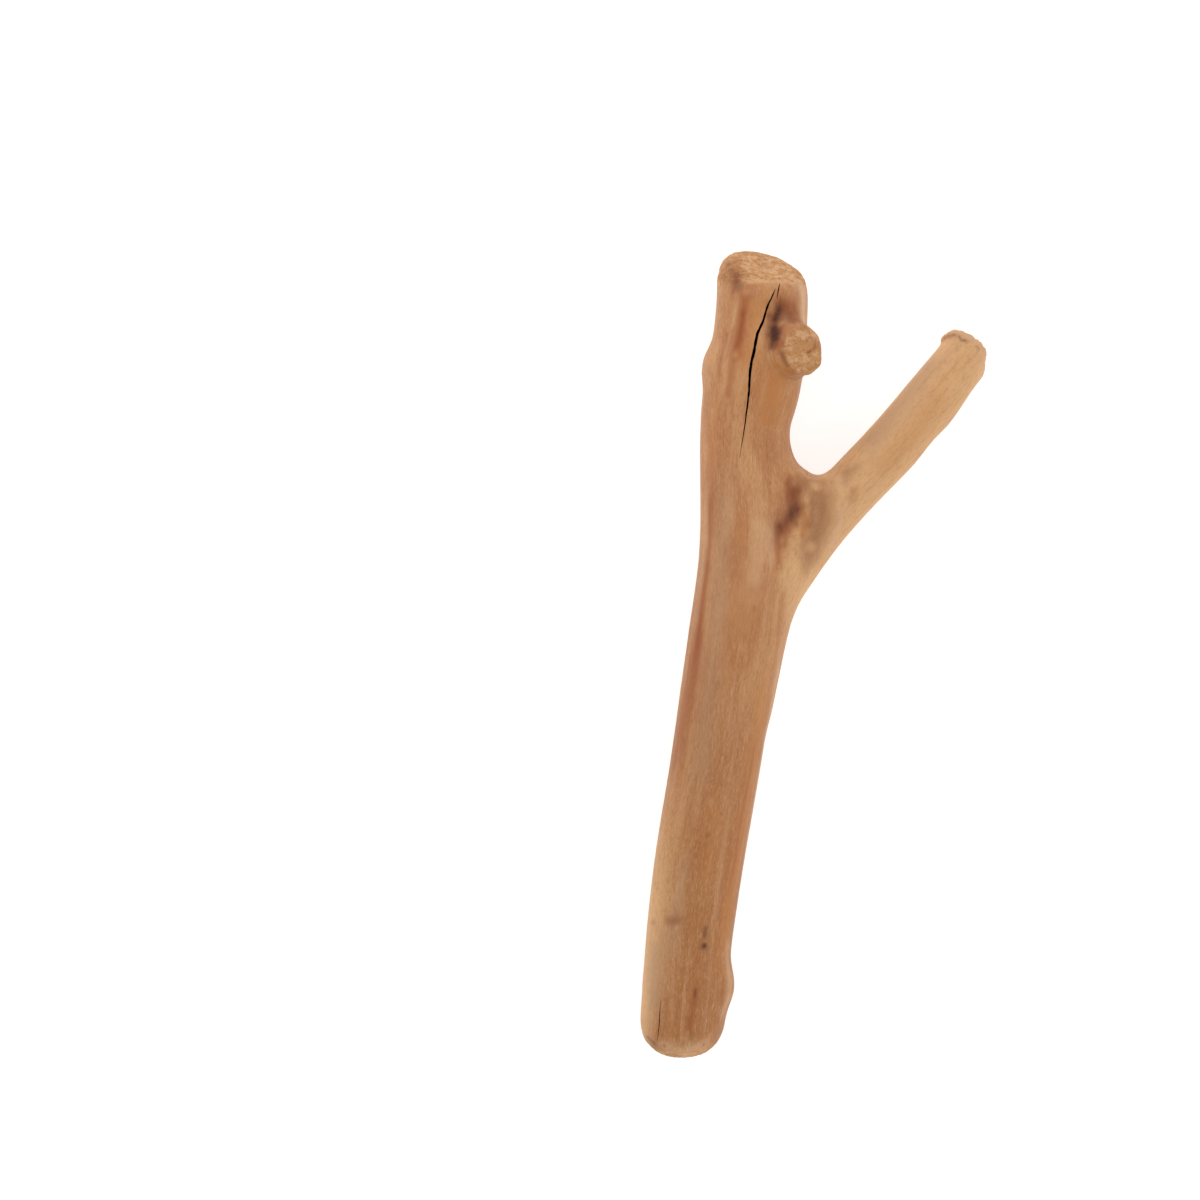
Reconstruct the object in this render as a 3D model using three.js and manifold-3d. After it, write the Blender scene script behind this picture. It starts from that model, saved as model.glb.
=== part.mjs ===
// A forked piece of driftwood, lying on its worn underside.
// Millimetres, +Z up. +Y runs along the trunk to its slanted upper end, and the branch leaves towards +X.
// The wood is one grown piece: trunk, branch, twig stub and swellings flow into each other,
// so its skin is drawn round one blended distance field, then cracked and worn flat underneath.

import * as THREE from "three";
import Module from "manifold-3d";

// Driving dimensions
const SKIN_STEP = 2.6; // spacing of the points that the skin is drawn through
const LIMB_FLATNESS = 0.95; // depth of a limb's section for each millimetre of its width
const CROTCH_BLEND = 8; // how widely the branch flows into the trunk
const STUB_BLEND = 6; // how widely the twig stub flows into the trunk
const STEPS_PER_STATION = 6; // straight pieces between two stations of a limb
const MOST_SETTLING = 0.6; // how far a point may settle onto the skin, in steps of the skin

// Stations along each limb, from its lower or inner end to its cut end: centre and radius.
const TRUNK = [
  { at: [-39.6, -130, 11.4], radius: 12.8 },
  { at: [-38.4, -100, 11.3], radius: 12.9 },
  { at: [-34.9, -68, 12.6], radius: 13.3 },
  { at: [-29.2, -32, 13.8], radius: 13.6 },
  { at: [-23.9, 3, 14.6], radius: 13.9 },
  { at: [-20.8, 32, 14.2], radius: 13.4 },
  { at: [-20.5, 66, 12.9], radius: 13.3 },
  { at: [-18.2, 81, 13.2], radius: 14.4 },
  { at: [-15.7, 99, 12.8], radius: 13.9 },
  { at: [-14.4, 132, 12.9], radius: 13.5 },
];
const BRANCH = [
  { at: [-24, -12, 14.4], radius: 8.6 },
  { at: [-16.2, 12, 14.4], radius: 8.5 },
  { at: [-7.2, 26, 14], radius: 8.6 },
  { at: [2.4, 38.7, 13.5], radius: 8.4 },
  { at: [12.6, 50.6, 12.4], radius: 8.6 },
  { at: [25.8, 64.4, 10.4], radius: 8.8 },
  { at: [41.7, 82.4, 8.2], radius: 9.2 },
  { at: [54.5, 98, 7.8], radius: 8.9 },
];
const STUB = [
  { at: [-17.1, 90.6, 13.4], radius: 8 },
  { at: [-8.5, 90.6, 22.2], radius: 7.5 },
  { at: [1, 90.6, 32], radius: 7.6 },
];

// The sawn and worn ends, and the worn side of the branch's tip: a point on each cut,
// the way it faces, and how far its edge is rounded.
const TRUNK_TOP_CUT = { at: [-15, 116.9, 12.8], facing: [0.15, 1, 0.5], rounding: 6.5 };
const TRUNK_FOOT_CUT = { at: [-39.2, -120.3, 11.6], facing: [0.02, -1, -0.2], rounding: 11 };
const BRANCH_CUT = { at: [48.4, 92.2, 8], facing: [0.52, 0.84, -0.4], rounding: 3.5 };
const BRANCH_WEAR = { at: [51.3, 83, 8], facing: [0.96, -0.2, 0], rounding: 6 };
const STUB_CUT = { at: [-3.5, 90.6, 26.8], facing: [0.6, 0, 0.8], rounding: 1.6 };

// Swellings that the wood has grown over: the shoulder, the crotch, and two healed knots.
const SWELLINGS = [
  { at: [-27, 86, 14], radius: 5.4, blend: 5 },
  { at: [-5.9, 48, 13.6], radius: 6.6, blend: 9 },
  { at: [-31.2, -99.5, 13], radius: 7.4, blend: 5 },
  { at: [-32, -12, 6.9], radius: 5.4, blend: 5 },
];

// Drying cracks: where each opens along the wood, its greatest width, and the depths it lies between.
const CRACKS = [
  {
    along: [
      [-10.7, 110.1],
      [-14.6, 101.5],
      [-18, 93],
      [-19.4, 82.9],
      [-20.5, 70.8],
      [-22.3, 58.1],
    ],
    width: 1,
    floor: 18,
  },
  {
    along: [
      [-9.8, 112.5],
      [-10.4, 109],
      [-11, 105.6],
    ],
    width: 0.6,
    floor: 20,
  },
  {
    along: [
      [-45.6, -104],
      [-46.3, -110.5],
      [-47.2, -117],
    ],
    width: 0.5,
    floor: 15,
  },
];
const CRACK_SIDES = 18; // points along each lip of a crack
const CRACK_TOP = 40; // above the wood everywhere

// The space that the skin is drawn in.
const ROOM = new THREE.Box3(
  new THREE.Vector3(-58, -128, -6),
  new THREE.Vector3(58, 128, 36),
);

const wasm = await Module();
wasm.setup();

const vector = (numbers) => new THREE.Vector3(...numbers);

// A limb as short straight pieces, each with its radius at both ends.
function limbPieces(stations) {
  const line = new THREE.CatmullRomCurve3(stations.map((s) => vector(s.at)), false, "catmullrom");
  const girth = new THREE.CatmullRomCurve3(
    stations.map((s) => new THREE.Vector3(s.radius, 0, 0)),
    false,
    "catmullrom",
  );
  const count = (stations.length - 1) * STEPS_PER_STATION;
  const points = line.getPoints(count);
  const radii = girth.getPoints(count).map((p) => p.x);
  return points.slice(1).map((end, i) => ({
    start: points[i],
    run: end.clone().sub(points[i]),
    startRadius: radii[i],
    endRadius: radii[i + 1],
  }));
}

// Distance from a point to the nearest piece of a limb, below 0 inside it.
function limbDistance(point, pieces) {
  const offset = new THREE.Vector3();
  let nearest = Infinity;
  for (const { start, run, startRadius, endRadius } of pieces) {
    offset.subVectors(point, start);
    const share = THREE.MathUtils.clamp(offset.dot(run) / run.lengthSq(), 0, 1);
    offset.addScaledVector(run, -share);
    offset.z /= LIMB_FLATNESS;
    const radius = THREE.MathUtils.lerp(startRadius, endRadius, share);
    nearest = Math.min(nearest, offset.length() - radius);
  }
  return nearest;
}

// The lesser of two distances, rounded off over a width where they are alike.
function blended(a, b, width) {
  const near = Math.max(width - Math.abs(a - b), 0) / width;
  return Math.min(a, b) - (near * near * width) / 4;
}

// A distance kept behind a cut, with the cut's edge rounded.
function behindCut(distance, point, cut) {
  const beyond = point.clone().sub(cut.point).dot(cut.normal);
  return -blended(-distance, -beyond, cut.rounding);
}

function preparedCut({ at, facing, rounding }) {
  return { point: vector(at), normal: vector(facing).normalize(), rounding };
}

// Distance to the whole piece of wood, below 0 inside it.
function woodField() {
  const [trunk, branch, stub] = [TRUNK, BRANCH, STUB].map(limbPieces);
  const [top, foot, branchEnd, branchSide, stubEnd] = [
    TRUNK_TOP_CUT,
    TRUNK_FOOT_CUT,
    BRANCH_CUT,
    BRANCH_WEAR,
    STUB_CUT,
  ].map(preparedCut);
  const swellings = SWELLINGS.map(({ at, radius, blend }) => ({
    ball: new THREE.Sphere(vector(at), radius),
    blend,
  }));
  return (point) => {
    const wornBranch = behindCut(limbDistance(point, branch), point, branchSide);
    const grown = blended(
      limbDistance(point, trunk),
      behindCut(wornBranch, point, branchEnd),
      CROTCH_BLEND,
    );
    const twig = behindCut(limbDistance(point, stub), point, stubEnd);
    let distance = blended(grown, twig, STUB_BLEND);
    for (const { ball, blend } of swellings) {
      distance = blended(distance, ball.distanceToPoint(point), blend);
    }
    return behindCut(behindCut(distance, point, top), point, foot);
  };
}

// Moves a point along the field's slope until it lies on the skin, no further than it may settle.
function settle(point, field) {
  const start = point.clone();
  const reach = 0.05;
  const slope = new THREE.Vector3();
  for (let round = 0; round < 4; round++) {
    const here = field(point);
    for (const axis of ["x", "y", "z"]) {
      const aside = point.clone();
      aside[axis] += reach;
      slope[axis] = (field(aside) - here) / reach;
    }
    point.addScaledVector(slope, -here / Math.max(slope.lengthSq(), 0.1));
  }
  return point.sub(start).clampLength(0, MOST_SETTLING * SKIN_STEP).add(start);
}

// Draws a closed skin where the field is 0: a point in each cell that the skin passes through,
// and a quad round each grid edge that it crosses. What would hang below height 0 is worn flat.
function drawSkin(field, room, step) {
  const count = room.getSize(new THREE.Vector3()).divideScalar(step).ceil().addScalar(1);
  const stride = [1, count.x, count.x * count.y];
  const total = count.x * count.y * count.z;
  const corner = (index) =>
    new THREE.Vector3(
      index % count.x,
      Math.floor(index / stride[1]) % count.y,
      Math.floor(index / stride[2]),
    )
      .multiplyScalar(step)
      .add(room.min);
  const depth = Float32Array.from({ length: total }, (_, index) => field(corner(index)));

  const positions = [];
  const pointOfCell = new Map();
  function cellPoint(cell) {
    if (pointOfCell.has(cell)) return pointOfCell.get(cell);
    const middle = new THREE.Vector3();
    let crossings = 0;
    for (let axis = 0; axis < 3; axis++) {
      const [left, right] = [stride[(axis + 1) % 3], stride[(axis + 2) % 3]];
      for (const start of [cell, cell + left, cell + right, cell + left + right]) {
        const end = start + stride[axis];
        if (depth[start] < 0 === depth[end] < 0) continue;
        const share = depth[start] / (depth[start] - depth[end]);
        middle.add(corner(start).lerp(corner(end), share));
        crossings++;
      }
    }
    const point = settle(middle.divideScalar(crossings), field);
    point.z = Math.max(point.z, 0);
    const number = positions.push(...point.toArray()) / 3 - 1;
    pointOfCell.set(cell, number);
    return number;
  }

  const triangles = [];
  for (let start = 0; start < total; start++) {
    for (let axis = 0; axis < 3; axis++) {
      const end = start + stride[axis];
      if (end >= total || depth[start] < 0 === depth[end] < 0) continue;
      const [left, right] = [stride[(axis + 1) % 3], stride[(axis + 2) % 3]];
      const round = [start, start - left, start - left - right, start - right].map(cellPoint);
      if (depth[start] >= 0) round.reverse();
      triangles.push(round[0], round[1], round[2], round[0], round[2], round[3]);
    }
  }
  return new THREE.BufferGeometry()
    .setAttribute("position", new THREE.Float32BufferAttribute(positions, 3))
    .setIndex(triangles);
}

// A slit with the plan of a spindle, open to the sky.
function crackGeometry({ along, width, floor }) {
  const line = new THREE.SplineCurve(along.map(([x, y]) => new THREE.Vector2(x, y)));
  const lip = (side) => (_, i) => {
    const share = i / CRACK_SIDES;
    const tangent = line.getTangent(share);
    const half = (side * width * Math.sin(Math.PI * share)) / 2;
    return line.getPoint(share).add(new THREE.Vector2(tangent.y, -tangent.x).multiplyScalar(half));
  };
  const right = Array.from({ length: CRACK_SIDES }, lip(1));
  const left = Array.from({ length: CRACK_SIDES + 1 }, lip(-1)).slice(1).reverse();
  const slit = new THREE.ExtrudeGeometry(new THREE.Shape([...right, ...left]), {
    depth: CRACK_TOP - floor,
    bevelEnabled: false,
  });
  return slit.translate(0, 0, floor);
}

// A closed geometry as a solid that can be cut.
function solidOf(geometry) {
  const vertices = new Map();
  const vertProperties = [];
  const position = geometry.getAttribute("position");
  const order = geometry.index ? Array.from(geometry.index.array) : [...Array(position.count).keys()];
  const triVerts = order.map((i) => {
    const place = [position.getX(i), position.getY(i), position.getZ(i)];
    const key = place.map((v) => v.toFixed(4)).join();
    if (!vertices.has(key)) vertices.set(key, vertProperties.push(...place) / 3 - 1);
    return vertices.get(key);
  });
  return new wasm.Manifold(
    new wasm.Mesh({
      numProp: 3,
      vertProperties: new Float32Array(vertProperties),
      triVerts: new Uint32Array(triVerts),
    }),
  );
}

function geometryOf(solid) {
  const { vertProperties, triVerts } = solid.getMesh();
  const geometry = new THREE.BufferGeometry()
    .setAttribute("position", new THREE.BufferAttribute(vertProperties, 3))
    .setIndex(new THREE.BufferAttribute(triVerts, 1));
  geometry.computeVertexNormals();
  return geometry;
}

// Brings the middle of the wood's box to the origin, leaving it at the height it rests at.
function centred(geometry) {
  geometry.computeBoundingBox();
  const middle = geometry.boundingBox.getCenter(new THREE.Vector3());
  return geometry.translate(-middle.x, -middle.y, 0);
}

function driftwood() {
  let wood = solidOf(drawSkin(woodField(), ROOM, SKIN_STEP));
  for (const crack of CRACKS) wood = wood.subtract(solidOf(crackGeometry(crack)));
  const mesh = new THREE.Mesh(
    centred(geometryOf(wood)),
    new THREE.MeshStandardMaterial({ color: 0xb98a60, roughness: 0.7, metalness: 0 }),
  );
  mesh.name = "driftwood";
  return mesh;
}

const part = new THREE.Group();
part.add(driftwood());

export default part;
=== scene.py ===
import math
import bpy
import numpy as np
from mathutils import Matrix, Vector, noise


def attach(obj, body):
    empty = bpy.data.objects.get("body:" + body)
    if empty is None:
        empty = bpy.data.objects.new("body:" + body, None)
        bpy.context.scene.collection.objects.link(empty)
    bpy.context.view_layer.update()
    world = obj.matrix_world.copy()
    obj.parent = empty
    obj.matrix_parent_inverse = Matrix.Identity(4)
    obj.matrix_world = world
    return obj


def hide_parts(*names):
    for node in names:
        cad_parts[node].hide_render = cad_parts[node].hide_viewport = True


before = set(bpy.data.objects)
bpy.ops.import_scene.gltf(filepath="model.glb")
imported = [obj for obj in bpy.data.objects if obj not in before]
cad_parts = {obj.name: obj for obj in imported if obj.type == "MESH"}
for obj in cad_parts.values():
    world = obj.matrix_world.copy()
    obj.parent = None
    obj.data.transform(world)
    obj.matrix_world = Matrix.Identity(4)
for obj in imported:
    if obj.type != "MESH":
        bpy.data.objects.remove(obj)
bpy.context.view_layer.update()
print("frame loaded")

mm = 0.001  # the scene is in metres, the lists below are in millimetres

# where the wood runs: centre x, y, z and radius, from the lower or inner end outwards
limbLines = {
    "trunk": [
        (-39.8, -130.2, 11.4, 12.8), (-38.6, -100.2, 11.3, 12.9), (-35.1, -68.2, 12.6, 13.3),
        (-29.4, -32.2, 13.8, 13.6), (-24.1, 2.8, 14.6, 13.9), (-21.0, 31.8, 14.2, 13.4),
        (-20.7, 65.8, 12.9, 13.3), (-18.4, 80.8, 13.2, 14.4), (-15.9, 98.8, 12.8, 13.9),
        (-14.6, 131.8, 12.9, 13.5),
    ],
    "branch": [
        (-24.2, -12.2, 14.4, 8.6), (-16.4, 11.8, 14.4, 8.5), (-7.4, 25.8, 14.0, 8.6),
        (2.2, 38.5, 13.5, 8.4), (12.4, 50.4, 12.4, 8.6), (25.6, 64.2, 10.4, 8.8),
        (41.5, 82.2, 8.2, 9.2), (54.3, 97.8, 7.8, 8.9),
    ],
    "twig": [(-17.2, 90.4, 13.4, 8.0), (-8.6, 90.4, 22.2, 7.5), (0.8, 90.4, 32.0, 7.6)],
}

# the four ends: a point on each, the way it faces, how far it reaches,
# and how squarely the skin has to face that way, or how far along the trunk it starts, to be end wood
woodEnds = {
    "top": {"at": (-15.2, 116.7, 12.8), "facing": (0.15, 1.0, 0.5), "reach": 26, "starts": 110.2},
    "foot": {"at": (-39.4, -120.5, 11.6), "facing": (0.02, -1.0, -0.2), "reach": 26, "edge": (0.3, 0.75)},
    "branch": {"at": (48.2, 92.0, 8.0), "facing": (0.52, 0.84, -0.4), "reach": 14, "edge": (0.55, 0.75)},
    "twig": {"at": (-3.6, 90.4, 26.8), "facing": (0.6, 0.0, 0.8), "reach": 12, "edge": (0.74, 0.86)},
}

# torn edges left by the saw, as thick lines: x, y, z and radius
tornEdges = {
    "branchLip": [
        (38.9, 93.6, 5.5, 0.4), (39.7, 95.0, 9.0, 0.7), (41.0, 95.8, 11.0, 0.9),
        (42.6, 96.3, 12.8, 0.95), (44.2, 95.5, 13.8, 1.25), (45.1, 95.0, 14.2, 1.4),
        (46.8, 94.2, 14.6, 1.35), (48.3, 93.4, 14.8, 1.15), (50.1, 91.8, 14.6, 0.95),
        (51.2, 90.4, 13.8, 0.7), (51.8, 88.6, 12.3, 0.45),
    ],
    "twigBurr": [
        (-9.9, 92.0, 30.0, 0.35), (-10.0, 90.0, 30.1, 0.5), (-9.6, 88.0, 30.0, 0.65),
        (-8.6, 86.0, 29.4, 0.7), (-7.1, 84.4, 28.3, 0.65), (-5.2, 83.4, 27.0, 0.5),
        (-3.4, 83.2, 25.6, 0.3),
    ],
}

# drying cracks: x, y and width along each, from above the skin down to the floor
dryingCracks = [
    {
        "line": [
            (-11.9, 108.6, 0.2), (-12.3, 107.6, 0.4), (-13.1, 105.7, 0.65), (-14.3, 103.3, 0.75),
            (-15.8, 98.3, 0.9), (-17.4, 95.0, 1.0), (-18.1, 91.5, 1.1), (-19.0, 87.0, 1.05),
            (-19.6, 84.0, 1.0), (-19.9, 78.1, 0.85), (-20.5, 72.2, 0.65), (-21.4, 65.7, 0.42),
            (-22.3, 60.3, 0.2), (-22.7, 57.7, 0.05),
        ],
        "top": 30.0, "floor": 18.5, "waver": 0.12,
    },
    {
        "line": [(-10.6, 110.3, 0.25), (-10.8, 109.3, 0.75), (-11.1, 107.8, 0.75), (-11.6, 105.2, 0.15)],
        "top": 30.0, "floor": 22.0, "waver": 0.05,
    },
    {
        "line": [(-45.9, -102.9, 0.05), (-46.2, -106.0, 0.3), (-46.4, -110.0, 0.36), (-47.0, -115.9, 0.12)],
        "top": 26.0, "floor": 15.5, "waver": 0.1,
    },
]


def smoothStep(low, high, value):
    t = np.clip((value - low) / (high - low), 0, 1)
    return t * t * (3 - 2 * t)


def noiseAt(points, scale, seed):
    shifted = points * np.array(scale) + seed * 17.3
    return np.array([noise.noise(Vector(p)) for p in shifted])


def unit(vector):
    return np.array(vector) / np.linalg.norm(vector)


def sampledLimb(stations, steps=24):
    # a smooth line through the stations, with what is needed to place a point beside it
    points = np.array(stations)
    padded = np.vstack([2 * points[0] - points[1], points, 2 * points[-1] - points[-2]])
    rows = []
    for i in range(len(points) - 1):
        p0, p1, p2, p3 = padded[i:i + 4]
        for t in np.linspace(0, 1, steps, endpoint=False):
            bend = (2 * p0 - 5 * p1 + 4 * p2 - p3) * t * t + (3 * p1 - p0 - 3 * p2 + p3) * t ** 3
            rows.append(0.5 * (2 * p1 + (p2 - p0) * t + bend))
    rows = np.array(rows + [points[-1]])
    centre, radius = rows[:, :3], rows[:, 3]
    tangent = np.gradient(centre, axis=0)
    tangent /= np.linalg.norm(tangent, axis=1, keepdims=True)
    side = np.cross(tangent, (0, 0, 1))
    side /= np.linalg.norm(side, axis=1, keepdims=True)
    gaps = np.linalg.norm(np.diff(centre, axis=0), axis=1)
    return {
        "centre": centre, "radius": radius, "tangent": tangent, "side": side,
        "up": np.cross(side, tangent), "along": np.concatenate([[0], np.cumsum(gaps)]),
    }


sampledLimbs = {name: sampledLimb(stations) for name, stations in limbLines.items()}


def placeOnLimb(points, limb):
    # sideways, along and upwards from the limb's line, and height above its skin
    nearest = np.concatenate([
        np.argmin(((part[:, None, :] - limb["centre"][None]) ** 2).sum(2), axis=1)
        for part in np.array_split(points, max(1, len(points) // 4000))
    ])
    offset = points - limb["centre"][nearest]
    sideways = (offset * limb["side"][nearest]).sum(1)
    upwards = (offset * limb["up"][nearest]).sum(1)
    along = limb["along"][nearest] + (offset * limb["tangent"][nearest]).sum(1)
    height = np.hypot(sideways, upwards) - limb["radius"][nearest]
    return np.stack([sideways, along, upwards], axis=1), height


def grainOf(points):
    # grain coordinates that run up the trunk and turn out into the branch and the twig,
    # the distance from the pith, and how much of each point is branch
    trunk, trunkHeight = placeOnLimb(points, sampledLimbs["trunk"])
    branch, branchHeight = placeOnLimb(points, sampledLimbs["branch"])
    twig, twigHeight = placeOnLimb(points, sampledLimbs["twig"])
    rings = [np.hypot(place[:, 0], place[:, 2]) for place in (trunk, branch, twig)]
    branch[:, 0] += 14 * smoothStep(5, 50, branch[:, 1])
    branch[:, 1] += 118
    twig += (30, 200, 0)
    toBranch = smoothStep(-5, 5, trunkHeight - branchHeight)
    nearTwig = smoothStep(14, 9, np.linalg.norm(points - woodEnds["twig"]["at"], axis=1))
    toTwig = smoothStep(0.4, 2.6, trunkHeight) * smoothStep(2.5, 0.8, np.abs(twigHeight)) * nearTwig
    grain = trunk * (1 - toBranch[:, None]) + branch * toBranch[:, None]
    grain = grain * (1 - toTwig[:, None]) + twig * toTwig[:, None]
    ring = rings[0] * (1 - toBranch) + rings[1] * toBranch
    return grain, ring * (1 - toTwig) + rings[2] * toTwig, toBranch


def endOf(points, normals, name):
    # 1 on the cut or broken face of a limb, 0 on its sides; and the distance short of the cut
    end = woodEnds[name]
    facing = unit(end["facing"])
    short = -(points - np.array(end["at"])) @ facing
    around = np.linalg.norm(points - np.array(end["at"]), axis=1)
    near = smoothStep(end["reach"], end["reach"] - 4, around) * smoothStep(6, 3, short)
    wander = noiseAt(points, (1 / 1.3,) * 3, 11)
    if "starts" in end:
        mask = smoothStep(-0.5, 0.5, points[:, 1] - end["starts"] + 0.7 * wander)
    else:
        mask = near * smoothStep(*end["edge"], normals @ facing + 0.09 * wander)
    return mask, np.where(around < end["reach"], short, 99)


def meshArrays(piece):
    count = len(piece.data.vertices)
    points, normals = np.empty(count * 3), np.empty(count * 3)
    piece.data.vertices.foreach_get("co", points)
    piece.data.vertices.foreach_get("normal", normals)
    return points.reshape(-1, 3) / mm, normals.reshape(-1, 3)


def setPoints(piece, points):
    piece.data.vertices.foreach_set("co", (points * mm).ravel())
    piece.data.update()


def onlySelect(piece):
    bpy.ops.object.select_all(action="DESELECT")
    piece.select_set(True)
    bpy.context.view_layer.objects.active = piece


def applyModifier(piece, kind, **settings):
    onlySelect(piece)
    modifier = piece.modifiers.new(kind.lower(), kind)
    for key, value in settings.items():
        setattr(modifier, key, value)
    bpy.ops.object.modifier_apply(modifier=modifier.name)


def distanceToLine(points, line):
    # distance to a line of points, or to a single point, in as many axes as the line has
    line = np.array(line)
    near = points[:, :line.shape[1]]
    if len(line) == 1:
        return np.linalg.norm(near - line[0], axis=1)
    best = np.full(len(near), 1e9)
    for start, end in zip(line[:-1], line[1:]):
        run = end - start
        share = np.clip(((near - start) @ run) / (run @ run), 0, 1)[:, None]
        best = np.minimum(best, np.linalg.norm(near - start - share * run, axis=1))
    return best


woodBody = {
    "voxel": 0.61,  # mesh size after remeshing
    "smoothAll": 2, "smoothLimbs": 26,
    "lumps": 0.3, "flutes": 0.06, "fibres": 0.035,  # relief along the sides
    "endRough": 0.2, "endPits": 0.28,  # relief on the cut faces
    "edgeRough": 0.28,  # raggedness of the torn edges
    # places that stand out or lie in a little: x, y, z, reach and height
    "swells": [
        (-5.5, 59.5, 13.0, 7.0, 1.0), (51.7, 84.4, 8.0, 5.0, 0.8), (-19.2, 120.6, 12.0, 10.0, 2.2),
        (2.6, 90.4, 22.0, 8.0, 1.4), (-0.4, 84.4, 23.0, 5.0, 1.5),
        (48.0, 77.0, 8.0, 7.0, -0.7), (44.3, 72.7, 8.0, 8.0, -0.9), (36.2, 64.2, 8.0, 10.0, -1.0),
    ],
    # corners split off the foot and the top: a point on each break, the way it faces and its reach
    "chips": [
        ((-48.1, -118.5, 11.0), (-0.69, -0.72, 0.0), 12),
        ((-7.0, 116.6, 14.0), (0.56, 0.83, 0.1), 18),
    ],
    "nub": (-25.2, -105.2, 8.0, 0.9, 0.8),  # a splinter end beside the foot
}


def copyOfNode(nodeName, pieceName):
    piece = bpy.data.objects.new(pieceName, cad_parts[nodeName].data.copy())
    bpy.context.scene.collection.objects.link(piece)
    piece.data.materials.clear()
    onlySelect(piece)
    bpy.ops.object.mode_set(mode="EDIT")
    bpy.ops.mesh.select_all(action="SELECT")
    bpy.ops.mesh.remove_doubles(threshold=1e-6)
    bpy.ops.mesh.select_all(action="DESELECT")
    bpy.ops.object.mode_set(mode="OBJECT")
    return piece


def closeSlits(piece):
    # the solid's plain slits are taken out, so that finer cracks can be cut in their place
    faces = piece.data.polygons
    centres, normals = np.empty(len(faces) * 3), np.empty(len(faces) * 3)
    faces.foreach_get("center", centres)
    faces.foreach_get("normal", normals)
    centres, normals = centres.reshape(-1, 3) / mm, normals.reshape(-1, 3)
    inside = placeOnLimb(centres, sampledLimbs["trunk"])[1] < -1.6
    lines = [[stop[:2] for stop in crack["line"]] for crack in dryingCracks]
    beside = np.min([distanceToLine(centres, line) for line in lines], axis=0) < 2.2
    steep = np.abs(normals[:, 2]) < 0.3
    level = normals[:, 2] > 0.98
    chosen = inside & beside & (steep | level)
    faces.foreach_set("select", chosen)
    bpy.ops.object.mode_set(mode="EDIT")
    bpy.ops.mesh.select_mode(type="FACE")
    bpy.ops.mesh.delete(type="FACE")
    bpy.ops.mesh.select_mode(type="EDGE")
    bpy.ops.mesh.select_all(action="DESELECT")
    bpy.ops.mesh.select_non_manifold()
    bpy.ops.mesh.fill_holes(sides=0)
    bpy.ops.mesh.select_all(action="SELECT")
    bpy.ops.mesh.quads_convert_to_tris()
    bpy.ops.object.mode_set(mode="OBJECT")
    print("slits closed,", int(chosen.sum()), "faces taken out")


def addTornEdge(piece, line):
    bpy.ops.object.select_all(action="DESELECT")
    bpy.ops.curve.primitive_bezier_curve_add()
    edge = bpy.context.object
    knots = edge.data.splines[0].bezier_points
    knots.add(len(line) - len(knots))
    for knot, (x, y, z, radius) in zip(knots, line):
        knot.co = Vector((x, y, z)) * mm
        knot.handle_left_type = knot.handle_right_type = "AUTO"
        knot.radius = radius
    edge.data.bevel_depth, edge.data.bevel_resolution = mm, 3
    edge.data.use_fill_caps = True
    bpy.ops.object.convert(target="MESH")
    onlySelect(bpy.context.object)
    piece.select_set(True)
    bpy.context.view_layer.objects.active = piece
    bpy.ops.object.join()


def remeshWood(piece):
    applyModifier(piece, "REMESH", mode="VOXEL", voxel_size=woodBody["voxel"] * mm)
    points, normals = meshArrays(piece)
    shorts = [endOf(points, normals, name)[1] for name in ("branch", "twig")]
    torn = [distanceToLine(points, np.array(line)[:, :3]) - 1.5 for line in tornEdges.values()]
    sides = smoothStep(1.0, 3.5, np.min(shorts + torn, axis=0))
    group = piece.vertex_groups.new(name="sides")
    for level in range(1, 11):
        chosen = np.where(np.round(sides * 10) == level)[0]
        group.add([int(i) for i in chosen], level / 10, "REPLACE")
    applyModifier(piece, "SMOOTH", factor=0.5, iterations=woodBody["smoothAll"])
    applyModifier(piece, "SMOOTH", factor=0.5, iterations=woodBody["smoothLimbs"], vertex_group="sides")
    piece.vertex_groups.clear()
    print("remeshed to", len(piece.data.vertices), "points")


def tornAmount(points, name):
    line = np.array(tornEdges[name])
    return smoothStep(2.0, 0.9, distanceToLine(points, line[:, :3]) / line[:, 3].max())


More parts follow.
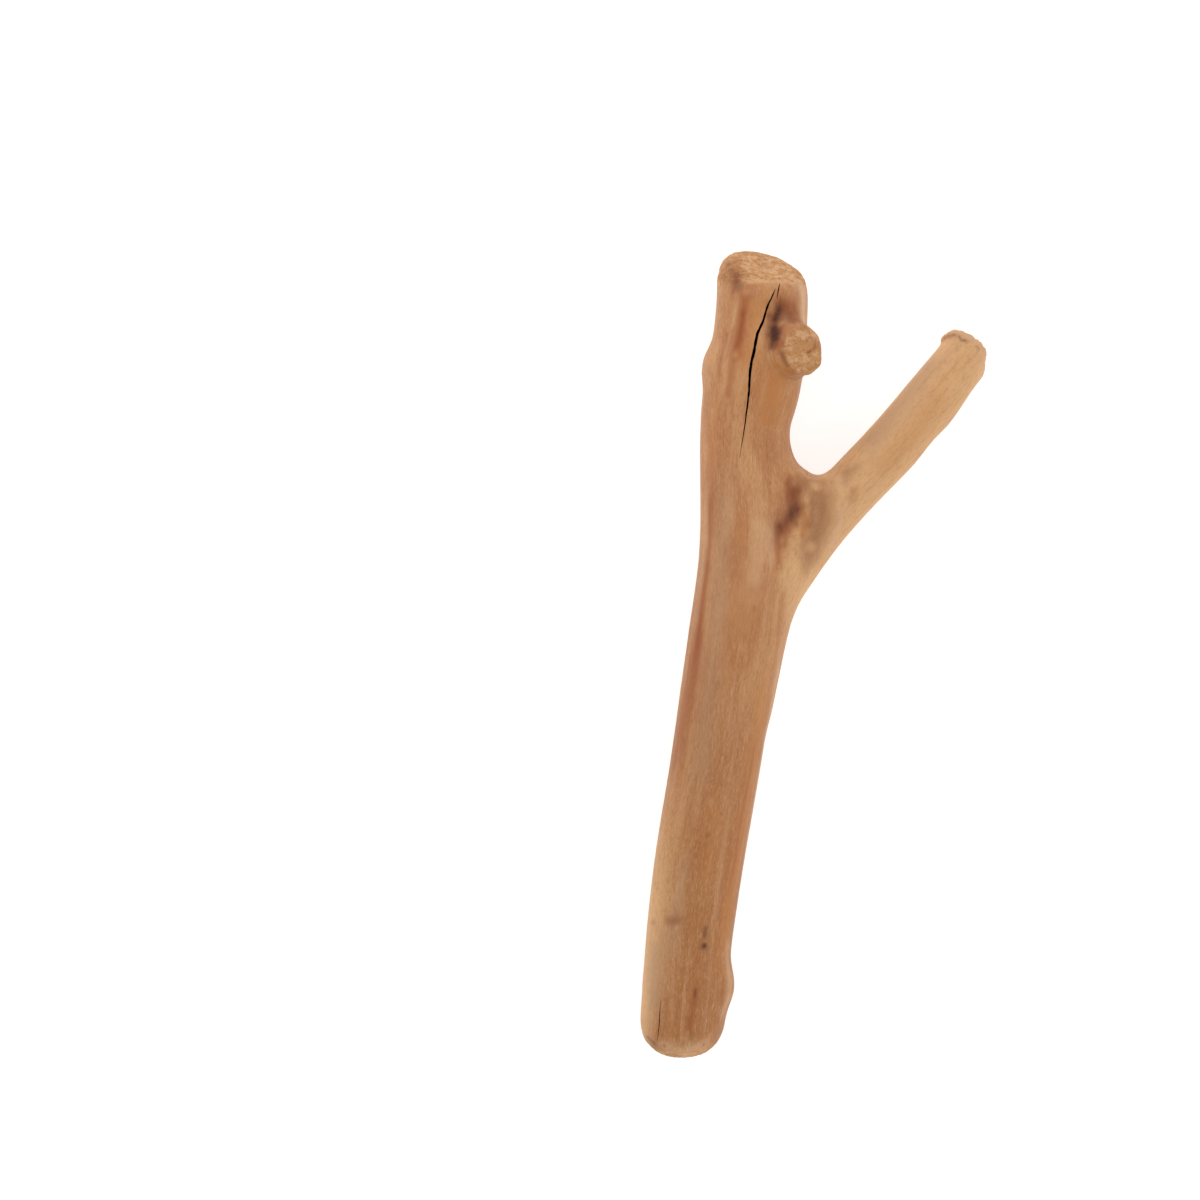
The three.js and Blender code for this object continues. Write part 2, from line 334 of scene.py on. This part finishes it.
def weatherWood(piece):
    points, normals = meshArrays(piece)
    grain = grainOf(points)[0]
    endFace = np.max([endOf(points, normals, name)[0] for name in woodEnds], axis=0)
    resting = smoothStep(0.4, 1.6, points[:, 2])  # the worn flats stay flat

    lumps = noiseAt(grain, (1 / 15, 1 / 42, 1 / 15), 1)
    flutes = 1 - 2 * np.abs(noiseAt(grain, (1 / 4.2, 1 / 60, 1 / 4.2), 2))
    fibres = noiseAt(grain, (1 / 0.9, 1 / 9, 1 / 0.9), 3)
    relief = woodBody["lumps"] * lumps + woodBody["flutes"] * flutes + woodBody["fibres"] * fibres
    rough = noiseAt(points, (1 / 1.5,) * 3, 4) + 0.6 * noiseAt(points, (1 / 0.8,) * 3, 5)
    pits = np.minimum(noiseAt(points, (1 / 3.2,) * 3, 6) + 0.15, 0)
    endRelief = woodBody["endRough"] * rough + woodBody["endPits"] * pits
    torn = np.max([tornAmount(points, name) for name in tornEdges], axis=0)
    move = relief * (1 - endFace) + endRelief * endFace + woodBody["edgeRough"] * torn * rough
    for x, y, z, reach, height in woodBody["swells"] + [woodBody["nub"]]:
        apart = np.linalg.norm(points - (x, y, z), axis=1) / reach
        move = move + height * np.exp(-2 * apart ** 2)
    points = points + normals * (move * resting)[:, None]

    for at, facing, reach in woodBody["chips"]:
        beyond = (points - np.array(at)) @ unit(facing) + 0.2 * rough
        beyond = np.where(np.linalg.norm(points - at, axis=1) < reach, beyond, 0)
        points = points - unit(facing) * np.maximum(beyond, 0)[:, None]
    points[:, 2] = np.maximum(points[:, 2], 0)
    setPoints(piece, points)
    print("wood weathered")


def crackCutter(crack, number):
    # a wedge with wavering lips, drawn flat and pulled down into the wood
    line = np.array(crack["line"])
    gaps = np.linalg.norm(np.diff(line[:, :2], axis=0), axis=1)
    runs = np.concatenate([[0], np.cumsum(gaps)])
    stops = np.linspace(0, runs[-1], max(12, int(runs[-1] / 0.7)) + 1)
    spine = np.stack([np.interp(stops, runs, line[:, k]) for k in (0, 1)], axis=1)
    still = stops * 0
    wander = noiseAt(np.stack([stops / 3.1, still, still], axis=1), (1, 1, 1), 20 + number)
    uneven = 1 + 0.25 * noiseAt(np.stack([stops / 1.4, still, still], axis=1), (1, 1, 1), 30 + number)
    tangent = np.gradient(spine, axis=0)
    tangent /= np.linalg.norm(tangent, axis=1, keepdims=True)
    across = np.stack([tangent[:, 1], -tangent[:, 0]], axis=1)
    spine = spine + across * (crack["waver"] * wander * np.sin(np.pi * stops / runs[-1]))[:, None]
    half = np.maximum(0.5 * np.interp(stops, runs, line[:, 2]) * uneven, 0.02)
    right = spine[:-1] + across[:-1] * half[:-1, None]
    left = (spine[1:] - across[1:] * half[1:, None])[::-1]
    middle = np.concatenate([spine[:-1], spine[1:][::-1]])
    outline = np.concatenate([right, left])

    bpy.ops.object.select_all(action="DESELECT")
    bpy.ops.mesh.primitive_circle_add(vertices=len(outline), radius=1, fill_type="NGON")
    cutter = bpy.context.object
    top, floor = crack["top"], crack["floor"]
    setPoints(cutter, np.column_stack([outline, np.full(len(outline), top)]))
    bpy.ops.object.mode_set(mode="EDIT")
    bpy.ops.mesh.select_all(action="SELECT")
    bpy.ops.mesh.extrude_region_move(TRANSFORM_OT_translate={"value": (0, 0, (floor - top) * mm)})
    bpy.ops.object.mode_set(mode="OBJECT")
    points = meshArrays(cutter)[0]
    for i in np.where(points[:, 2] < (top + floor) / 2)[0]:
        nearest = np.argmin(((outline - points[i, :2]) ** 2).sum(1))
        points[i, :2] = middle[nearest] * 0.7 + points[i, :2] * 0.3
    setPoints(cutter, points)
    onlySelect(cutter)
    bpy.ops.object.mode_set(mode="EDIT")
    bpy.ops.mesh.select_all(action="SELECT")
    bpy.ops.mesh.normals_make_consistent(inside=False)
    bpy.ops.object.mode_set(mode="OBJECT")
    return cutter


def cutCracks(piece, wall):
    for number, crack in enumerate(dryingCracks):
        cutter = crackCutter(crack, number)
        cutter.data.materials.append(wall)
        settings = {"operation": "DIFFERENCE", "solver": "EXACT", "material_mode": "TRANSFER"}
        applyModifier(piece, "BOOLEAN", object=cutter, **settings)
        bpy.data.objects.remove(cutter)
    print("cracks cut,", len(piece.data.polygons), "faces")


# stains, wear, painted sheen and painted shade, as soft strokes along lines seen from above: line, half
# width, strength
woodStains = {
    "amber": [
        ([(-15.1, 4.1), (-15.9, -13.8), (-18.8, -37.7), (-22.9, -61.6), (-26.5, -82.5), (-28.3, -103.3)],
         3.0, 0.5),
        ([(-11.2, 84.0), (-12.4, 76.7), (-13.8, 71.0)], 3.8, 0.75),
        ([(-17.5, 107.0), (-19.5, 95.0), (-22.0, 82.0)], 4.0, 0.5),
        ([(-3.6, 43.3), (-2.7, 39.7), (-3.6, 35.3)], 1.1, 0.7),
        ([(-21.1, 30.0), (-21.1, 15.9), (-22.6, 1.1)], 5.0, 0.3),
        ([(15.9, 51.1), (25.5, 61.6), (34.6, 72.1), (41.0, 80.5)], 3.6, 0.3),
        ([(-29.5, 75.4), (-30.4, 66.5), (-30.7, 54.6)], 1.5, 0.3),
        ([(-22.0, 39.6), (-22.3, 33.7)], 2.2, 0.3),
        ([(-29.1, -43.4), (-30.8, -58.2), (-32.9, -70.1)], 2.6, 0.3),
    ],
    # painted sheen: paler grey bands where soft highlights fall on the trunk, the foot and the branch
    "paintedSheen": [
        ([(-26.0, 66.4), (-26.9, 51.5), (-27.9, 27.8), (-30.0, 4.1), (-32.9, -25.6), (-37.4, -55.3)],
         3.6, 0.35),
        ([(-37.4, -55.3), (-42.6, -82.2), (-44.6, -95.0)], 3.0, 0.25),
        ([(-47.6, -84.1), (-48.5, -97.5), (-48.5, -107.9)], 3.0, 0.5),
        ([(12.0, 57.7), (19.6, 67.3), (27.3, 77.0), (34.9, 87.6), (39.5, 93.0)], 5.0, 0.5),
        ([(-33.6, 33.8), (-34.5, 21.9), (-35.7, 10.0), (-37.2, -0.5)], 1.1, 0.3),
    ],
    "rustAndShade": [
        ([(-10.6, 104.0), (-7.6, 101.5), (-5.5, 99.1)], 3.0, 0.65),
        ([(-11.1, 95.8), (-11.5, 91.2)], 2.3, 0.6),
        ([(-12.5, 100.0), (-13.0, 92.0)], 2.4, 0.4),
        ([(-6.5, 103.5), (-5.0, 100.5)], 1.8, 0.5),
        ([(-20.4, 108.0), (-21.6, 102.0), (-22.8, 94.6), (-24.0, 88.6)], 2.0, 0.6),
        ([(-24.0, 88.6), (-26.4, 75.0)], 1.6, 0.4),
        ([(-21.3, 101.4), (-23.0, 92.0)], 1.0, 0.5),
        ([(-26.0, 96.2), (-27.5, 89.7), (-28.7, 81.9)], 1.3, 0.35),
        ([(-29.9, 54.6), (-31.4, 44.2), (-31.8, 32.3), (-33.1, 18.9), (-35.3, 1.0), (-36.9, -9.0)],
         1.3, 0.6),
        ([(-6.0, 50.5), (-6.3, 46.0), (-6.0, 42.0), (-8.5, 38.5), (-10.6, 34.0)], 3.2, 0.7),
        ([(-11.2, 37.0), (-11.4, 32.2), (-10.8, 26.0)], 1.3, 0.5),
        ([(-9.4, 19.5), (-10.6, 11.5), (-11.4, 4.0)], 0.9, 0.3),
        ([(-15.9, -17.4), (-19.4, -36.2), (-22.1, -51.1), (-23.5, -61.5), (-26.5, -74.9)], 0.7, 0.4),
        ([(-35.5, -98.5), (-36.1, -103.9), (-37.0, -108.3), (-37.9, -112.5)], 1.1, 0.55),
        # painted shade: a darker, redder band along the trunk's left edge
        ([(-34.0, 14.0), (-36.3, -6.0), (-38.6, -16.0), (-41.2, -29.0), (-43.4, -40.8)], 3.6, 0.45),
        ([(10.4, 46.3), (12.2, 48.7)], 1.4, 0.3),
        ([(45.5, 74.6), (41.0, 69.4), (34.5, 62.0), (29.0, 56.2)], 0.5, 0.5),
        ([(-3.0, 93.0), (-1.5, 93.9), (0.1, 92.8), (-0.2, 90.7), (-2.1, 89.4)], 0.45, 0.45),
        ([(-27.7, -98.8), (-27.3, -105.0), (-28.5, -111.1)], 0.5, 0.35),
    ],
    "grey": [
        ([(-25.6, 117.1), (-25.8, 114.6)], 2.6, 0.6),
        ([(-23.8, 112.9), (-23.4, 109.8)], 2.2, 1.0),
        ([(-27.8, 112.6)], 1.4, 0.5),
        ([(-21.1, 28.0), (-21.5, 14.0), (-22.6, 1.1)], 4.0, 0.2),
        ([(0.2, 49.8), (2.0, 46.5), (2.0, 41.2), (0.4, 35.3), (-1.4, 31.5)], 4.2, 0.68),
        ([(0.1, 49.3), (-0.9, 43.3), (-1.8, 36.8)], 1.2, 0.3),
        ([(-1.5, 31.4), (-2.7, 24.3)], 1.6, 0.3),
        ([(8.5, 54.1), (8.7, 50.5)], 1.7, 0.4),
        ([(10.5, 54.1), (12.3, 55.9)], 1.6, 0.35),
        ([(-43.5, -79.6), (-40.9, -79.4)], 1.6, 0.6),
        ([(-48.2, -80.3)], 1.1, 0.45),
    ],
    "pale": [
        ([(-22.4, 108.0), (-24.5, 99.1), (-26.9, 89.7), (-28.1, 80.7)], 0.55, 0.3),
        ([(-3.4, 109.2), (-3.0, 100.2)], 2.4, 0.9),
        ([(8.0, 44.2), (7.8, 39.8), (6.3, 35.3), (4.0, 30.8)], 1.6, 0.5),
        ([(6.5, 54.2), (8.2, 49.8)], 1.4, 0.4),
        ([(-4.1, 55.5), (-2.2, 53.0), (1.2, 52.4), (4.2, 53.6)], 0.7, 0.5),
        ([(-6.6, 18.9), (-10.6, -4.4), (-15.1, -30.7), (-20.5, -62.2), (-22.6, -75.8)], 1.3, 0.5),
        ([(-45.0, -116.9), (-39.6, -118.3), (-33.1, -116.7)], 2.2, 0.6),
        ([(-25.2, -84.0), (-25.6, -104.0), (-28.0, -112.0)], 1.6, 0.5),
        ([(44.3, 80.3), (45.0, 78.5)], 0.5, 0.9),
        ([(18.6, 42.4), (27.6, 52.6), (36.7, 63.4), (44.7, 73.6), (49.6, 80.7)], 1.5, 0.5),
        ([(-16.6, 42.0), (-17.8, 27.8), (-19.1, 18.0)], 3.0, 0.35),
        ([(-13.5, 36.0), (-13.5, 28.0)], 2.0, 0.4),
        ([(-22.1, 109.9), (-17.1, 110.6), (-12.0, 110.8), (-8.6, 111.0), (-5.3, 109.6)], 0.8, 0.4),
    ],
    "umber": [
        ([(-11.0, 102.2), (-12.2, 98.9)], 1.5, 0.85),
        ([(-12.9, 96.4), (-12.2, 93.6)], 1.7, 0.9),
        ([(-12.1, 99.5), (-12.5, 96.0), (-11.2, 94.6)], 1.0, 0.5),
        ([(-12.9, 93.1), (-13.4, 90.7)], 1.1, 0.65),
        ([(-10.3, 103.1), (-8.3, 99.9)], 2.4, 0.35),
        ([(-5.8, 50.0), (-6.3, 46.6), (-5.7, 42.7)], 2.2, 0.35),
        ([(-5.9, 43.2), (-7.0, 41.0)], 1.8, 0.4),
        ([(-7.6, 40.3), (-10.5, 37.9)], 2.0, 0.35),
        ([(-10.7, 37.6), (-10.9, 34.5)], 1.4, 0.25),
        ([(-33.0, -86.9)], 0.95, 0.9),
        ([(-32.9, -83.9), (-32.6, -81.5)], 0.6, 0.5),
        ([(-32.2, -53.8)], 0.6, 0.4),
        ([(-28.0, -47.5)], 0.5, 0.3),
        ([(-35.8, -100.0), (-35.7, -101.8)], 0.35, 0.5),
        ([(-50.0, -114.8), (-48.8, -115.8), (-47.6, -116.6)], 0.4, 0.6),
        ([(-37.3, -111.9), (-36.7, -114.9)], 0.4, 0.3),
        # painted shadow in the crease under the twig's torn rim
        ([(-10.4, 88.6), (-9.6, 86.4), (-8.6, 84.9)], 0.7, 0.45),
        ([(-2.4, 89.2), (-1.7, 89.7)], 0.4, 0.55),
        ([(-14.7, 118.6), (-14.2, 118.2)], 0.4, 0.7),
        ([(-10.7, 112.2)], 0.35, 0.6),
        # painted shadow under the torn lip at the branch's end
        ([(39.5, 94.6), (40.7, 95.2), (42.2, 95.4)], 0.4, 0.45),
        ([(43.4, 94.8), (44.0, 93.9), (45.5, 93.5)], 0.45, 0.6),
        ([(48.7, 91.8), (49.4, 91.0)], 0.35, 0.35),
    ],
}


def laidOn(points, line):
    # the places of a stroke brought onto the skin below them
    laid = []
    for x, y in line:
        near = np.hypot(points[:, 0] - x, points[:, 1] - y)
        laid.append((x, y, points[near < near.min() + 0.3, 2].max()))
    return np.array(laid)


def endFade(points, line):
    # long strokes fade out towards both ends
    run = np.linalg.norm(np.diff(line, axis=0), axis=1).sum()
    gaps = [np.linalg.norm(points - end, axis=1) for end in (line[0], line[-1])]
    return smoothStep(0, max(run / 4 - 2, 0.01), np.minimum(*gaps))


def paintWood(piece):
    points, normals = meshArrays(piece)
    grain, ring, toBranch = grainOf(points)
    endFace = np.max([endOf(points, normals, name)[0] for name in woodEnds], axis=0)
    lip = tornAmount(points, "branchLip")
    layers = {"endFace": np.maximum(endFace, 0.4 * lip), "ring": ring, "branchWood": toBranch}
    wander = noiseAt(points, (1 / 1.8, 1 / 4, 1 / 1.8), 40)
    wander = wander + 0.7 * noiseAt(points, (1 / 0.8, 1 / 2, 1 / 0.8), 41)
    for name, strokes in woodStains.items():
        bare = np.ones(len(points))
        for line, width, strength in strokes:
            laid = laidOn(points, line)
            apart = distanceToLine(points, laid) / width * (1 + 0.35 * wander)
            bare = bare * (1 - strength * np.exp(-apart ** 2) * endFade(points, laid))
        layers[name] = 1 - bare
    layers["pale"] = np.maximum(layers["pale"], 0.65 * lip)
    for name, values in layers.items():
        piece.data.attributes.new(name, "FLOAT", "POINT").data.foreach_set("value", values)
    piece.data.attributes.new("grain", "FLOAT_VECTOR", "POINT").data.foreach_set("vector", grain.ravel())
    print("stains painted")


class Wire:
    # a node's output that can be used in sums
    def __init__(self, finish, socket):
        self.finish, self.socket = finish, socket

    def maths(self, operation, first, second):
        return self.finish.add("ShaderNodeMath", {"operation": operation}, {0: first, 1: second})

    def __add__(self, other):
        return self.maths("ADD", self, other)

    def __radd__(self, other):
        return self.maths("ADD", other, self)

    def __sub__(self, other):
        return self.maths("SUBTRACT", self, other)

    def __rsub__(self, other):
        return self.maths("SUBTRACT", other, self)

    def __mul__(self, other):
        return self.maths("MULTIPLY", self, other)

    def __rmul__(self, other):
        return self.maths("MULTIPLY", other, self)


class Finish:
    # a material that is built up from nodes
    def __init__(self, name):
        self.material = bpy.data.materials.new(name)
        self.material.use_nodes = True
        self.tree = self.material.node_tree
        self.tree.nodes.clear()

    def add(self, kind, settings=None, sockets=None, output=0):
        node = self.tree.nodes.new(kind)
        for key, value in (settings or {}).items():
            setattr(node, key, value)
        for key, value in (sockets or {}).items():
            if isinstance(value, Wire):
                self.tree.links.new(value.socket, node.inputs[key])
            else:
                node.inputs[key].default_value = value
        return Wire(self, node.outputs[output]) if len(node.outputs) else None

    def attribute(self, name, output="Fac"):
        return self.add("ShaderNodeAttribute", {"attribute_name": name}, output=output)

    def noise(self, vector, scale, detail=2.0, roughness=0.5, distortion=0.0):
        stretched = self.add("ShaderNodeVectorMath", {"operation": "MULTIPLY"}, {0: vector, 1: scale})
        sockets = {"Vector": stretched, "Scale": 1.0, "Detail": detail}
        sockets.update({"Roughness": roughness, "Distortion": distortion})
        return self.add("ShaderNodeTexNoise", {}, sockets)

    def ramp(self, value, low, high):
        sockets = {"Value": value, "From Min": low, "From Max": high}
        return self.add("ShaderNodeMapRange", {"interpolation_type": "SMOOTHSTEP"}, sockets)

    def mix(self, factor, first, second):
        settings = {"data_type": "RGBA", "clamp_factor": True}
        return self.add("ShaderNodeMix", settings, {0: factor, 6: first, 7: second}, output=2)

    def surface(self, **sockets):
        named = {key.replace("_", " "): value for key, value in sockets.items()}
        shader = self.add("ShaderNodeBsdfPrincipled", {}, named)
        self.add("ShaderNodeOutputMaterial", {}, {"Surface": shader})
        return self.material


def colour(red, green, blue):
    # screen colour, 0 to 255, as the linear light that a shader takes
    share = [v / 255 for v in (red, green, blue)]
    return tuple(v / 12.92 if v <= 0.04045 else ((v + 0.055) / 1.055) ** 2.4 for v in share) + (1.0,)


woodTones = {
    "honey": (196, 143, 97), "tan": (180, 122, 78), "golden": (163, 106, 58), "branchHoney": (222, 174, 122),
    "fibreLight": (218, 174, 130), "fibreDark": (132, 78, 42),
    "umber": (62, 18, 6), "rustAndShade": (144, 66, 24), "amber": (188, 120, 60), "paintedSheen": (170, 134, 106),
    "grey": (138, 84, 52), "pale": (216, 172, 132),
    "endWood": (188, 136, 88), "endDark": (146, 88, 42), "endPale": (214, 168, 124),
    "crackWallShade": (58, 31, 19), "crackDeepShade": (22, 12, 8),
}


def woodFinish():
    finish = Finish("weatheredWood")
    tone = {name: colour(*value) for name, value in woodTones.items()}
    grain = finish.attribute("grain", "Vector")
    mottle = finish.noise(grain, (0.16, 0.045, 0.16), 3, 0.55)
    streak = finish.noise(grain, (0.42, 0.018, 0.42), 3, 0.55, 0.3)
    fine = finish.noise(grain, (1.7, 0.34, 1.7), 3, 0.6)
    fibre = finish.noise(grain, (4.2, 0.8, 4.2), 2, 0.6)
    hair = finish.noise(grain, (3.4, 0.22, 3.4), 2, 0.5, 0.5)
    along = finish.add("ShaderNodeSeparateXYZ", {}, {0: grain}, output="Y")

    base = finish.mix(finish.ramp(mottle, 0.36, 0.64), tone["honey"], tone["tan"])
    # darker and more golden towards the foot: partly the wood's own tone, partly painted shade
    base = finish.mix(finish.ramp(along, 190.0, 40.0) * 0.85, base, tone["golden"])
    base = finish.mix(finish.attribute("branchWood") * 0.8, base, tone["branchHoney"])
    base = finish.mix(finish.ramp(streak, 0.52, 0.72) * 0.2, base, tone["rustAndShade"])
    base = finish.mix(finish.ramp(streak, 0.48, 0.3) * 0.2, base, tone["pale"])
    base = finish.mix(finish.ramp(fine, 0.5, 0.28) * 0.28, base, tone["fibreDark"])
    base = finish.mix(finish.ramp(fine, 0.52, 0.74) * 0.26, base, tone["fibreLight"])
    base = finish.mix(finish.ramp(fibre, 0.52, 0.74) * 0.3, base, tone["fibreLight"])
    base = finish.mix(finish.ramp(fibre, 0.48, 0.28) * 0.26, base, tone["fibreDark"])
    base = finish.mix(finish.ramp(hair, 0.64, 0.72) * 0.35, base, tone["fibreLight"])

    place = finish.add("ShaderNodeTexCoord", {}, output="Object")
    speck = finish.noise(place, (1000.0, 1500.0, 1500.0), 3, 0.6)
    blotch = finish.noise(place, (280.0, 420.0, 420.0), 3, 0.65)
    waves = finish.attribute("ring") * 3.4 + blotch * 5.0
    rings = finish.add("ShaderNodeMath", {"operation": "SINE"}, {0: waves})
    endWood = finish.mix(finish.ramp(blotch, 0.4, 0.65), tone["endWood"], tone["endPale"])
    endWood = finish.mix(finish.ramp(rings, 0.2, 0.9) * 0.18, endWood, tone["endDark"])
    endWood = finish.mix(finish.ramp(speck, 0.5, 0.32) * 0.5, endWood, tone["endDark"])
    endFace = finish.attribute("endFace")
    base = finish.mix(endFace, base, endWood)
    broken = fine * 0.8 + fibre * 0.5 + 0.35
    for stain in woodStains:
        base = finish.mix(finish.attribute(stain) * broken, base, tone[stain])

    sideHeight = fine * 0.12 + fibre * 0.08 + streak * 0.06
    endHeight = speck * 0.16 + blotch * 0.14
    height = sideHeight * (1 - endFace) + endHeight * endFace
    bump = finish.add("ShaderNodeBump", {}, {"Strength": 0.8, "Distance": mm, "Height": height})
    rough = 0.44 + fine * 0.16 + endFace * 0.3
    return finish.surface(Base_Color=base, Roughness=rough, Normal=bump, Specular_IOR_Level=0.25)


def crackFinish():
    # painted shade: the walls of the cracks are dark brown, and darker still further down
    finish = Finish("crackWallShade")
    place = finish.add("ShaderNodeTexCoord", {}, output="Object")
    height = finish.add("ShaderNodeSeparateXYZ", {}, {0: place}, output="Z")
    depth = finish.ramp(height, 0.0262, 0.0235)  # heights between which the wall darkens
    tone = finish.mix(depth, colour(*woodTones["crackWallShade"]), colour(*woodTones["crackDeepShade"]))
    return finish.surface(Base_Color=tone, Roughness=0.9, Specular_IOR_Level=0.1)


wood = copyOfNode("driftwood", "driftwoodBody")
closeSlits(wood)
for edgeLine in tornEdges.values():
    addTornEdge(wood, edgeLine)
remeshWood(wood)
weatherWood(wood)
wood.data.materials.append(woodFinish())
cutCracks(wood, crackFinish())
paintWood(wood)
onlySelect(wood)
bpy.ops.object.shade_smooth_by_angle(angle=math.radians(50))
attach(wood, "root")
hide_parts("driftwood")
print("wood finished")

studio = {
    "floorSize": 6.0, "floorTone": 0.5, "floorGlow": 0.72,
    "worldLight": 0.68,
    "lamps": [
        {"at": (-0.56, 0.84, 0.5), "size": 0.7, "power": 4.0},
        {"at": (0.8, -0.3, 0.75), "size": 0.9, "power": 3.0},
    ],
    "cameraAt": (-0.06405, 0.015915, 1.014),
    "lens": 100.0,
}


def makeFloor():
    bpy.ops.object.select_all(action="DESELECT")
    bpy.ops.mesh.primitive_plane_add(size=studio["floorSize"], location=(0, 0, 0))
    floor = bpy.context.object
    floor.name = "paleFloor"
    tone = (studio["floorTone"],) * 3 + (1.0,)
    glow = {"Emission_Color": (1.0, 1.0, 1.0, 1.0), "Emission_Strength": studio["floorGlow"]}
    floor.data.materials.append(Finish("paleFloor").surface(Base_Color=tone, Roughness=0.9, **glow))


def makeLight():
    world = bpy.data.worlds.new("studio")
    bpy.context.scene.world = world
    world.use_nodes = True
    world.node_tree.nodes["Background"].inputs["Color"].default_value = (1, 1, 1, 1)
    world.node_tree.nodes["Background"].inputs["Strength"].default_value = studio["worldLight"]
    for light in studio["lamps"]:
        bpy.ops.object.light_add(type="AREA", location=light["at"])
        lamp = bpy.context.object
        lamp.data.shape, lamp.data.size, lamp.data.energy = "DISK", light["size"], light["power"]
        lamp.rotation_euler = (-Vector(light["at"])).to_track_quat("-Z", "Y").to_euler()


def makeCamera():
    bpy.ops.object.camera_add(location=studio["cameraAt"], rotation=(0, 0, 0))
    camera = bpy.context.object
    camera.data.sensor_width, camera.data.lens = 36.0, studio["lens"]
    camera.data.clip_start, camera.data.clip_end = 0.01, 20.0
    bpy.context.scene.camera = camera


makeFloor()
makeLight()
makeCamera()
bpy.context.scene.view_settings.view_transform = "Standard"
print("studio ready")
